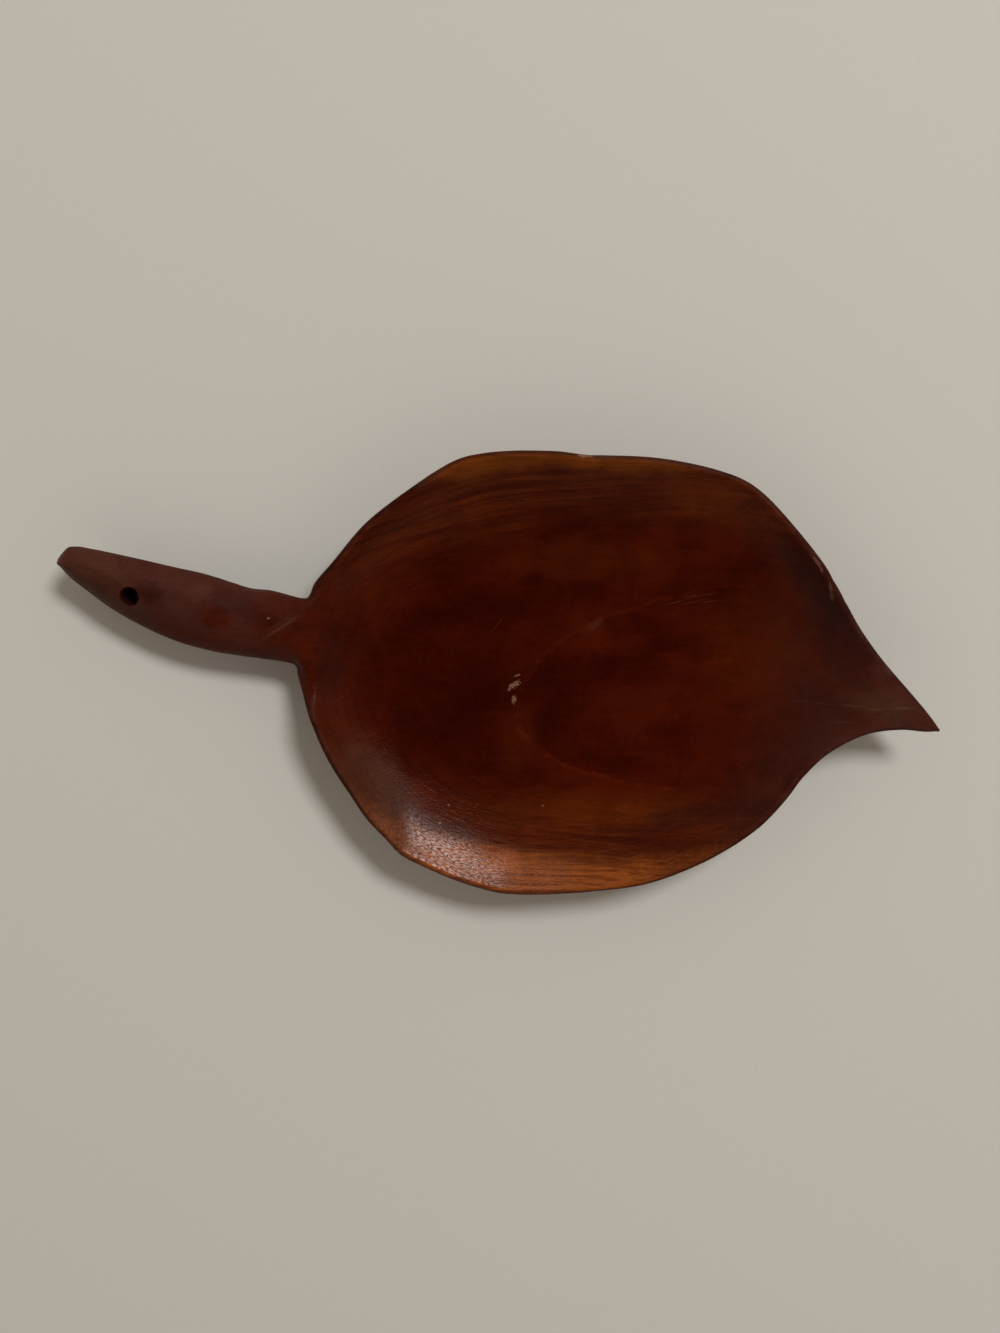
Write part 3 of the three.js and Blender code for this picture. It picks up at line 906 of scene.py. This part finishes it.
WARM_SHADES = (
    ((0.0200, -0.0640), (0.064, 0.010), 0),
    ((-0.0220, -0.0330), (0.010, 0.018), 0),
    ((0.0910, 0.0140), (0.024, 0.030), 0),
    # Painted light: lifts a strip of the upper right wall, which faces away from the lamp
    ((0.0650, 0.0800), (0.034, 0.010), -22),
    ((0.0080, 0.0540), (0.038, 0.010), 0),
)
GOLDEN_SHADES = (
    ((-0.0370, 0.0975), (0.034, 0.0062), 8),
    ((0.0160, 0.0985), (0.038, 0.0046), -4),
)
POLISHED_PLACES = (
    ((-0.0600, -0.0840), (0.042, 0.014), -24),
    ((-0.0200, -0.0960), (0.034, 0.012), -8),
)
# Painted sheen: grey-brown places on the left wall, the handle's end and the tip, which are also duller
DRY_AND_SHEEN_PLACES = (
    ((-0.0930, -0.0500), (0.032, 0.013), -51),
    ((-0.0830, -0.0690), (0.018, 0.010), -46),
    ((-0.2140, 0.0480), (0.016, 0.012), 0),
    ((0.1416, -0.0100), (0.016, 0.008), -15),
)


def soft_places(w, place, marks, ragged):
    """How far a place lies inside the nearest of the soft ellipses, which go right through the board."""
    ellipsoids = [((x, y, 0), (half_x, half_y, THROUGH), turn) for (x, y), (half_x, half_y), turn in marks]
    return w.span(w.distance(place, ellipsoids) + ragged, *SOFT_EDGE)


def pale_ring(w, place, across):
    """The paler ring as two masks: its thin line, and the lighter wood just outside the lower arm."""
    end_x, end_y = PALE_RING_END
    away = []
    for half_x, half_y in (PALE_RING_OVER, PALE_RING_UNDER):
        inside = w.placed_in(place, (end_x + half_x, end_y, 0), (half_x, half_y, THROUGH))
        away.append((w.vector("LENGTH", inside) - 1.0) * half_y)
    over = w.span(across, end_y - PALE_RING_TURN, end_y + PALE_RING_TURN)
    outside = w.add("ShaderNodeMix", {"Factor": over, "A": away[1], "B": away[0]})
    line = w.span(abs(outside), *PALE_LINE)
    beside = w.span(outside, *BESIDE_NEAR) * w.span(outside, *BESIDE_FAR)
    return line * (1.0 - over * LINE_FAINTER), beside * (1.0 - over * BESIDE_FAINTER)


def sapwood_depth(w, x, y, z, fibres):
    """How far a place in grain coordinates lies inside the sapwood, whose edge is a parabola. The edge
    comes in as the wall rises, and the fibres fray it."""
    near_x, near_y = SAPWOOD_NEAREST
    run = w.math("MAXIMUM", x, SAPWOOD_START) - near_x
    depth = run * run * SAPWOOD_BEND + near_y - y
    raised = (z - SAPWOOD_LEVEL) * SAPWOOD_SLANT
    streaky = (fibres - 0.5) * SAPWOOD_FRAY
    return depth + raised + streaky


def board_group():
    """Growth rings, fibres, clouds, streaks, soft places and sapwood of the board, from a place in tray
    coordinates. A few soft places are painted shade, painted light or a painted sheen."""
    group, w, given, give = node_group(
        "carved_board",
        ("Place",),
        ("Along Grain", "Ring Lines", "Pale Ring", "Beside Ring", "Fibres", "Fine Lines", "Clouds", "Well",
         "Deep", "Dusky", "Warm", "Golden", "Dry", "Polished", "Warm Streaks", "Dark Streaks", "Sapwood",
         "Sapwood Border"),
    )
    grain = w.placed(given["Place"], rotation=(0, 0, -GRAIN_TURN))
    bend = w.wander(w.placed(grain, scale=(7, 22, 22)), 1.0, 2.0, (0.0, 0.016, 0.010))
    waved = w.vector("ADD", grain, bend)
    give("Along Grain", grain)

    x0, y0 = FIGURE_MIDDLE
    centred = w.placed(waved, (-x0 * FIGURE_STRETCH, -y0, HEART_DEPTH), scale=(FIGURE_STRETCH, 1, 1))
    radius = w.vector("LENGTH", centred)
    give("Ring Lines", w.span(w.bands(radius, 360.0, 3.0, 0.6), 0.52, 0.36))
    wander = w.wander(grain, 70.0, 3.0, (0.006, 0.005, 0.0))
    waver = w.wander(grain, 260.0, 3.0, (0.0030, 0.0022, 0.0))
    gently = w.vector("ADD", w.vector("ADD", grain, wander), waver)
    _, gentle_y, _ = w.parts(gently)
    line, beside = pale_ring(w, gently, gentle_y)
    broken = w.span(w.noise(grain, 110.0, 4.0, 0.65), 0.38, 0.60, 0.10, 1.0)
    give("Pale Ring", line * broken)
    give("Beside Ring", beside)

    fibres = w.stretched(waved, (26, 430, 430), 4.0, 0.65)
    give("Fibres", fibres)
    give("Fine Lines", w.stretched(waved, (11, 620, 620), 3.0, 0.6))
    clouds = w.stretched(waved, (34, 52, 52), 5.0, 0.62, 0.3)
    x, y, z = w.parts(waved)
    lighter = w.span(x, -0.070, 0.060, -0.05, 0.02)
    give("Clouds", w.span(clouds + lighter, 0.25, 0.75, 0.12, 0.92))
    ragged = (w.noise(grain, 60.0, 4.0, 0.62) - 0.5) * 1.3
    for name, marks in (
        ("Deep", DEEP_SHADES), ("Dusky", DUSKY_AND_SHADED_PLACES), ("Warm", WARM_SHADES),
        ("Golden", GOLDEN_SHADES), ("Dry", DRY_AND_SHEEN_PLACES), ("Polished", POLISHED_PLACES),
    ):
        give(name, soft_places(w, grain, marks, ragged))

    in_well = w.vector("LENGTH", w.placed_in(grain, WELL_MIDDLE, WELL_HALF))
    frayed = (w.noise(waved, 38.0, 3.0, 0.6) - 0.5) * 0.40
    give("Well", w.span(in_well + frayed, *WELL_EDGE))

    across = abs(y + 0.004)
    level = abs(y) - x * 0.12
    streaks = w.noise(w.combined(x * 9.0, (radius + level) * 150.0), 1.0, 4.0, 0.66)
    outward = w.span(across, 0.030, 0.092)
    give("Warm Streaks", outward * w.span(streaks, 0.40, 0.62))
    give("Dark Streaks", outward * w.span(streaks, 0.50, 0.34))

    depth = sapwood_depth(w, x, y, z, fibres)
    ends = w.span(x, *SAPWOOD_ENDS[0]) * w.span(x, *SAPWOOD_ENDS[1])
    give("Sapwood", w.span(depth, *SAPWOOD_EDGE) * ends)
    give("Sapwood Border", w.span(depth, *BORDER_IN) * w.span(depth, *BORDER_OUT))
    return group


def pore_group():
    """Open pores as short dark lines along the grain, and the fine fibre between them."""
    group, w, given, give = node_group("open_pores", ("Along Grain",), ("Pores", "Fibre"))
    grain = given["Along Grain"]
    lines = w.stretched(grain, (190, 1500, 1500), 2.0, 0.6)
    drift = w.noise(grain, 60.0, 2.0)
    give("Pores", w.span(lines + drift * 0.10, 0.64, 0.74))
    give("Fibre", w.stretched(grain, (150, 1100, 1100), 3.0, 0.6))
    return group


def wear_group():
    """Rubbed edges, the uneven dry film of handled wood, whose purple-grey is partly a painted sheen, broad
    blotches and a fine pale dust.
    """
    group, w, given, give = node_group(
        "hand_wear", ("Place", "Edge", "Handled"), ("Rubbed", "Film", "Blotches", "Dust")
    )
    place = given["Place"]
    coarse = w.noise(place, 70.0, 4.0, 0.6)
    give("Blotches", w.noise(place, 48.0, 3.0, 0.55, 0.6))
    give("Dust", w.span(w.noise(place, 420.0, 4.0, 0.75), 0.40, 0.66))
    give("Rubbed", given["Edge"] * w.span(coarse, 0.44, 0.66))
    give("Film", given["Handled"] * w.span(coarse, 0.30, 0.66, 0.60, 1.0))
    return group


# Small marks: middle, half length, half width, and the turn of the long side in degrees. Pale flecks
# show where the surface is broken.
FLECKS = (
    ((-0.0228, -0.0054, 0.007), 0.0019, 0.0005, 31),
    ((-0.0230, -0.0098, 0.007), 0.0029, 0.0013, 44),
    ((-0.0249, -0.0125, 0.007), 0.0008, 0.0007, 59),
    ((-0.0218, -0.0167, 0.007), 0.0018, 0.0010, -77),
    ((-0.0431, -0.0719, 0.012), 0.0006, 0.0005, 20),
    ((-0.0457, -0.0803, 0.017), 0.0005, 0.0005, 20),
    ((0.0015, -0.0646, 0.010), 0.0006, 0.0004, 20),
    ((-0.0132, 0.0997, 0.028), 0.0032, 0.0005, 5),
    ((-0.1388, 0.0030, 0.024), 0.0006, 0.0005, 0),
)
RIM_CHIPS = (
    ((0.0977, 0.0737, 0.027), 0.0030, 0.0006, -42),
    ((0.1004, 0.0708, 0.027), 0.0018, 0.0005, -50),
    ((0.1064, 0.0640, 0.027), 0.0026, 0.0006, -58),
    ((0.1082, 0.0604, 0.027), 0.0024, 0.0007, -62),
)
SCRATCHES = (
    ((0.1120, 0.0100, 0.014), 0.0080, 0.0003, 9),
    ((0.1200, 0.0112, 0.018), 0.0070, 0.0003, 9),
    ((0.1301, 0.0131, 0.023), 0.0060, 0.0004, 8),
    ((0.1404, 0.0138, 0.026), 0.0050, 0.0005, 11),
    ((0.1520, 0.0163, 0.027), 0.0060, 0.0004, 11),
    ((0.1175, -0.0074, 0.012), 0.0034, 0.0003, 13),
    ((0.1197, -0.0032, 0.014), 0.0040, 0.0003, 83),
    ((0.1221, 0.0021, 0.017), 0.0042, 0.0003, 25),
    ((0.1285, 0.0050, 0.022), 0.0070, 0.0003, 12),
    ((-0.1330, -0.0005, 0.024), 0.0090, 0.0003, 43),
    ((-0.1352, 0.0004, 0.024), 0.0060, 0.0003, 40),
    ((-0.1500, -0.0091, 0.024), 0.0030, 0.0003, 12),
    ((0.0440, 0.0432, 0.008), 0.0060, 0.0002, 26),
    ((0.0492, 0.0468, 0.008), 0.0050, 0.0002, 22),
    ((0.0515, 0.0446, 0.008), 0.0060, 0.0002, 24),
    ((0.0560, 0.0490, 0.008), 0.0060, 0.0002, 21),
    ((0.0585, 0.0462, 0.008), 0.0045, 0.0002, 19),
    ((-0.0362, 0.0172, 0.007), 0.0050, 0.0002, 62),
)
SCUFFS = (
    ((-0.1330, -0.0002, 0.024), 0.0110, 0.0018, 43),
    ((-0.1712, 0.0088, 0.023), 0.0070, 0.0055, 20),
    ((0.0085, 0.0252, 0.007), 0.0060, 0.0022, 48),
    ((-0.0253, -0.1053, 0.027), 0.0050, 0.0012, -10),
)
# Places where the dry film on the handle is worn through to the red. The long one runs along the lower
# edge and leaves that side without the painted sheen, darker as in shade.
FILM_GAPS = (
    ((-0.1624, -0.0013, 0.025), 0.0080, 0.0050, 0),
    ((-0.1600, -0.0145, 0.020), 0.0520, 0.0095, -3),
    ((-0.1280, 0.0000, 0.022), 0.0200, 0.0160, 0),
)
# How far every small mark reaches above and below its middle
MARK_DEPTH = 0.006
# For every kind of mark how ragged it is, and the distances, in half sizes, between which it fades
MARK_EDGES = {
    "Flecks": (FLECKS, 3.2, 1.25, 0.75),
    "Rim Chips": (RIM_CHIPS, 3.4, 1.30, 0.60),
    "Scratches": (SCRATCHES, 1.2, 1.50, 0.30),
    "Scuffs": (SCUFFS, 1.6, 1.30, 0.10),
    "Film Gaps": (FILM_GAPS, 0.6, 1.40, 0.50),
}


def marks_group():
    """Flecks, rim chips, scratches, scuffs and gaps in the film. Each is the inside of an ellipsoid that is
    turned about the vertical, with an edge broken by noise. Flecks and chips also crumble inside."""
    group, w, given, give = node_group("small_marks", ("Place",), tuple(MARK_EDGES))
    place = given["Place"]
    fine = w.noise(place, 900.0, 4.0, 0.65) - 0.5
    crumbled = w.span(w.noise(place, 1900.0, 2.0), 0.40, 0.60, 0.30, 1.0)
    for name, (marks, raggedness, outer, inner) in MARK_EDGES.items():
        ellipsoids = [(middle, (long, wide, MARK_DEPTH), turn) for middle, long, wide, turn in marks]
        inside = w.span(w.distance(place, ellipsoids) + fine * raggedness, outer, inner)
        give(name, inside * crumbled if name in ("Flecks", "Rim Chips") else inside)
    return group


def fresh_wood(w, look, board):
    """Colour of the oiled board before any wear: the well, the walls round it and the sapwood."""
    well = w.layered(
        w.blend(board["Clouds"], look.heart_deep, look.heart_red),
        (board["Warm"], 0.20, look.warm_streak),
        (board["Deep"], 0.52, look.heart_deep),
        (board["Beside Ring"], 0.42, look.heart_red),
        (board["Pale Ring"], 0.34, look.ring_red),
    )
    wall = w.layered(
        look.wall_brown,
        (board["Warm Streaks"], 0.46, look.warm_streak),
        (board["Dark Streaks"], 0.31, look.dark_line_and_shade),
        (board["Ring Lines"], 0.24, look.dark_line_and_shade),
        (board["Warm"], 0.48, look.warm_streak),
        (board["Golden"], 0.80, look.golden),
        (board["Deep"], 0.45, look.heart_deep),
    )
    heartwood = w.blend(board["Well"], wall, well)
    heartwood = w.layered(heartwood, (board["Sapwood Border"], 0.30, look.dark_line_and_shade))
    sapwood = w.blend(w.span(board["Fine Lines"], 0.48, 0.62), look.sapwood, look.sapwood_line)
    return w.layered(heartwood, (board["Sapwood"], 0.95, sapwood))


def wood_material(look):
    """Oiled dark hardwood: a deep red well with one paler ring, brown walls with streaks and a golden strip,
    a sapwood band, a dry left wall with a painted grey sheen, open pores, scraper lines, a dry film on the
    handle and the tip that is partly a painted sheen, rubbed edges, small marks, and a polished corner that
    sparkles. Painted shade darkens the rim's outline, the hanging hole's wall and the right wall, and
    painted light lifts a strip of the upper right wall."""
    material = bpy.data.materials.new("oiled_dark_hardwood")
    material.use_nodes = True
    tree = material.node_tree
    tree.nodes.clear()
    w = Wiring(tree)
    place = w.add("ShaderNodeTexCoord", output="Object")
    board = w.group(board_group(), Place=place)
    pores = w.group(pore_group(), Along_Grain=board["Along Grain"])
    wear = w.group(wear_group(), Place=place, Edge=w.attribute("rim_edge"), Handled=w.attribute("handled"))
    marks = w.group(marks_group(), Place=place)

    # Film of the handled wood, partly a painted sheen, the painted grey sheen of the dry places, and the
    # purple-brown places, partly painted shade
    base = fresh_wood(w, look, board)
    film = wear["Film"] * (1.0 - marks["Film Gaps"] * 0.72)
    base = w.layered(
        base,
        # The film's grey is partly a painted sheen
        (film, 0.78, look.dry_film_and_sheen),
        # Painted sheen: the dry places' grey-brown
        (board["Dry"], 0.60, look.dry_wall_sheen),
        # Partly painted shade: the purple-brown darkens the right wall
        (board["Dusky"], 0.60, look.dusky_and_shade),
    )

    # Lighter and darker tones, which are calm where the oil is deep: blotches, fibres and scraper lines
    blotches = w.math("MAXIMUM", wear["Blotches"], board["Well"] * 0.5)
    base = w.toned(base, blotches, 0.36, 0.64, 0.88, 1.10)
    calm = 1.0 - board["Well"] * 0.55
    veiled = calm * (1.0 - film * 0.75)
    base = w.toned(base, (board["Fibres"] - 0.5) * veiled, -0.18, 0.18, 0.90, 1.10)
    dry = 1.0 - board["Well"]
    scraped = dry * (1.0 - w.attribute("handled"))
    scraped = scraped * w.span(w.attribute("edge_run"), 0.03, 0.08)
    lines = (w.along_rim(45.0, 1100.0, 3.0) - 0.5) * scraped
    base = w.toned(base, lines, -0.16, 0.16, 0.89, 1.12)

    # Painted shade along the rim's outline, the rubbed edge, the pores, painted shade on the hole's wall, and
    # the marks
    # Painted shade: a dark line along the rim's outline
    outline_shade = w.span(w.attribute("edge_distance"), 0.0021, 0.0006)
    base = w.layered(base, (outline_shade, 0.70, look.dark_line_and_shade), (wear["Rubbed"], 0.04, look.bare_wood))
    open_pores = pores["Pores"] * (1.0 - board["Well"] * 0.80)
    base = w.layered(base, (open_pores, 0.45, look.dark_line_and_shade))
    base = w.layered(
        base,
        # Painted shade: the hole's wall painted nearly black
        (w.attribute("bored"), 0.90, look.dark_line_and_shade),
        (wear["Dust"], 0.007, look.bare_wood),
        (marks["Scuffs"], 0.05, look.bare_wood),
        (marks["Scratches"], 0.07, look.bare_wood),
        (marks["Rim Chips"], 0.32, look.bare_wood),
        (marks["Flecks"], 0.62, look.bare_wood),
    )

    # Roughness: the fibres, then drier wood, the rim, the hole's wall and the scraper's lines
    rough = w.span((pores["Fibre"] - 0.5) * calm, -0.15, 0.15, 0.15, 0.28)
    rough = rough + film * 0.08 + board["Dry"] * 0.15 + w.attribute("handled") * 0.09
    rim = w.span(w.attribute("edge_distance"), 0.0065, 0.0025) * dry
    rim = rim * (1.0 - w.attribute("handled"))
    rough = rough + rim * 0.26 + w.attribute("bored") * 0.50
    rough = w.math("ADD", rough, lines * 0.30, clamp=True)

    # Relief, in shares of the bump's distance
    rise = pores["Fibre"] * dry * 1.2 - open_pores * 0.2
    rise = rise + lines * 1.2
    rise = rise + w.noise(place, 160.0, 3.0)
    rise = rise + w.noise(place, 1000.0, 2.0) * (dry * 0.60 + 0.20)
    bump = w.add("ShaderNodeBump", {"Strength": 0.6, "Distance": 0.0002, "Height": rise})

    # The polished corner's sparkle, as a patchy coat
    specks = w.span(w.along_rim(480.0, 2000.0, 2.0), 0.42, 0.64)
    polish = specks * board["Polished"] * 0.60
    shader = w.add("ShaderNodeBsdfPrincipled", {
        "Base Color": base, "Roughness": rough, "Normal": bump, "IOR": 1.48, "Specular IOR Level": 0.045,
        "Coat Weight": polish, "Coat Roughness": 0.29,
    })
    w.node("ShaderNodeOutputMaterial", {"Surface": shader})
    return material


def floor_material(look):
    """Plain pale matt floor."""
    material = bpy.data.materials.new("pale_floor")
    material.use_nodes = True
    shader = material.node_tree.nodes["Principled BSDF"]
    shader.inputs["Base Color"].default_value = linear(look.floor_colour)
    shader.inputs["Roughness"].default_value = 0.9
    shader.inputs["Specular IOR Level"].default_value = 0.2
    return material


class TRAY_OT_carve(bpy.types.Operator):
    """Carve the whole tray: dish, tip, handle and hanging hole"""

    bl_idname = "tray.carve"
    bl_label = "Carve tray"

    def execute(self, context):
        points, faces, masks = carved_tray_surface(context.scene.tray_sizes)
        tray = mesh_object("leaf_tray", points, faces, masks)
        tray.data.materials.append(wood_material(context.scene.tray_wood))
        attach(tray, TRAY_BODY)
        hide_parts(TRAY_NODE)
        return {"FINISHED"}


# Half the side of the square floor
FLOOR_HALF = 3.0
# The point that the camera looks at, its sensor's width in millimetres, and the nearest that it sees
VIEW_MIDDLE = (-0.03204, 0.0013, 0.028)
SENSOR_WIDTH = 36.0
NEAREST_SEEN = 0.01
# The sky's colour. Its strength goes from the first to the second while the height of the direction
# falls through the range.
SKY_COLOUR = (1.0, 0.84, 0.70, 1.0)
SKY_HEIGHTS = (0.90, 0.45)
SKY_STRENGTHS = (0.06, 0.80)
# The lamp: where it stands as seen from the origin, its width and height, its watts and its colour
LAMP_AZIMUTH = math.radians(65.0)
LAMP_ELEVATION = math.radians(47.5)
LAMP_DISTANCE = 4.0
LAMP_SIZE = (1.6, 0.8)
LAMP_POWER = 115.0
LAMP_COLOUR = (1.0, 0.97, 0.93)


class TRAY_OT_stage(bpy.types.Operator):
    """Set the pale floor, the camera, the soft sky and the soft lamp"""

    bl_idname = "tray.stage"
    bl_label = "Set stage"

    def execute(self, context):
        look = context.scene.tray_stage
        self.floor(look)
        self.camera(context, look)
        self.sky(context)
        self.lamp(context)
        context.scene.view_settings.view_transform = "Standard"
        return {"FINISHED"}

    def floor(self, look):
        """A square at the height of the tray's foot."""
        corners = FLOOR_HALF * np.array([(-1, -1, 0), (1, -1, 0), (1, 1, 0), (-1, 1, 0)])
        floor = mesh_object("pale_floor", corners, np.array([[0, 1, 2, 3]]))
        floor.data.materials.append(floor_material(look))

    def camera(self, context, look):
        """A camera over the tray, tilted from the vertical and rolled with the tray's long axis."""
        data = bpy.data.cameras.new("view")
        data.lens = look.lens
        data.sensor_width = SENSOR_WIDTH
        data.clip_start = NEAREST_SEEN
        camera = bpy.data.objects.new("view", data)
        level = Vector((math.cos(look.view_roll), math.sin(look.view_roll), 0))
        upright = Vector((-level.y, level.x, 0))
        back = upright * math.sin(look.view_tilt) + Vector((0, 0, 1)) * math.cos(look.view_tilt)
        turn = Matrix((level, back.cross(level), back)).transposed()
        place = Vector(VIEW_MIDDLE) + back * look.view_distance
        camera.matrix_world = Matrix.Translation(place) @ turn.to_4x4()
        context.scene.collection.objects.link(camera)
        context.scene.camera = camera

    def sky(self, context):
        """A warm sky that is dark overhead."""
        world = bpy.data.worlds.new("soft_room")
        world.use_nodes = True
        background = world.node_tree.nodes["Background"].inputs
        background["Color"].default_value = SKY_COLOUR
        w = Wiring(world.node_tree)
        _, _, height = w.parts(w.add("ShaderNodeTexCoord", output="Generated"))
        w.feed(background["Strength"], w.span(height, *SKY_HEIGHTS, *SKY_STRENGTHS))
        context.scene.world = world

    def lamp(self, context):
        """A soft oval lamp that faces the origin."""
        data = bpy.data.lights.new("key", "AREA")
        data.shape = "ELLIPSE"
        data.size, data.size_y = LAMP_SIZE
        data.energy = LAMP_POWER
        data.color = LAMP_COLOUR
        lamp = bpy.data.objects.new("key", data)
        flat = math.cos(LAMP_ELEVATION)
        toward = (flat * math.cos(LAMP_AZIMUTH), flat * math.sin(LAMP_AZIMUTH), math.sin(LAMP_ELEVATION))
        direction = Vector(toward).normalized()
        lamp.location = direction * LAMP_DISTANCE
        lamp.rotation_euler = direction.to_track_quat("Z", "Y").to_euler()
        context.scene.collection.objects.link(lamp)


class TRAY_PT_panel(bpy.types.Panel):
    """Every size and colour of the tray, and the buttons that make it"""

    bl_label = "Carved leaf tray"
    bl_idname = "TRAY_PT_panel"
    bl_space_type = "VIEW_3D"
    bl_region_type = "UI"
    bl_category = "Tray"

    def draw(self, context):
        layout = self.layout
        for group in (context.scene.tray_sizes, context.scene.tray_wood, context.scene.tray_stage):
            box = layout.box()
            for name in group.bl_rna.properties.keys():
                if name not in ("rna_type", "name"):
                    box.prop(group, name)
        layout.operator(TRAY_OT_carve.bl_idname)
        layout.operator(TRAY_OT_stage.bl_idname)


CLASSES = (TraySizes, WoodLook, StageLook, TRAY_OT_carve, TRAY_OT_stage, TRAY_PT_panel)


def register():
    """Registers the classes and the settings that a scene carries."""
    for cls in CLASSES:
        bpy.utils.register_class(cls)
    bpy.types.Scene.tray_sizes = PointerProperty(type=TraySizes)
    bpy.types.Scene.tray_wood = PointerProperty(type=WoodLook)
    bpy.types.Scene.tray_stage = PointerProperty(type=StageLook)


def unregister():
    """Takes the settings and the classes out again."""
    del bpy.types.Scene.tray_stage
    del bpy.types.Scene.tray_wood
    del bpy.types.Scene.tray_sizes
    for cls in reversed(CLASSES):
        bpy.utils.unregister_class(cls)


def main():
    register()
    bpy.ops.tray.carve()
    bpy.ops.tray.stage()
    bpy.context.view_layer.update()


if __name__ == "__main__":
    main()
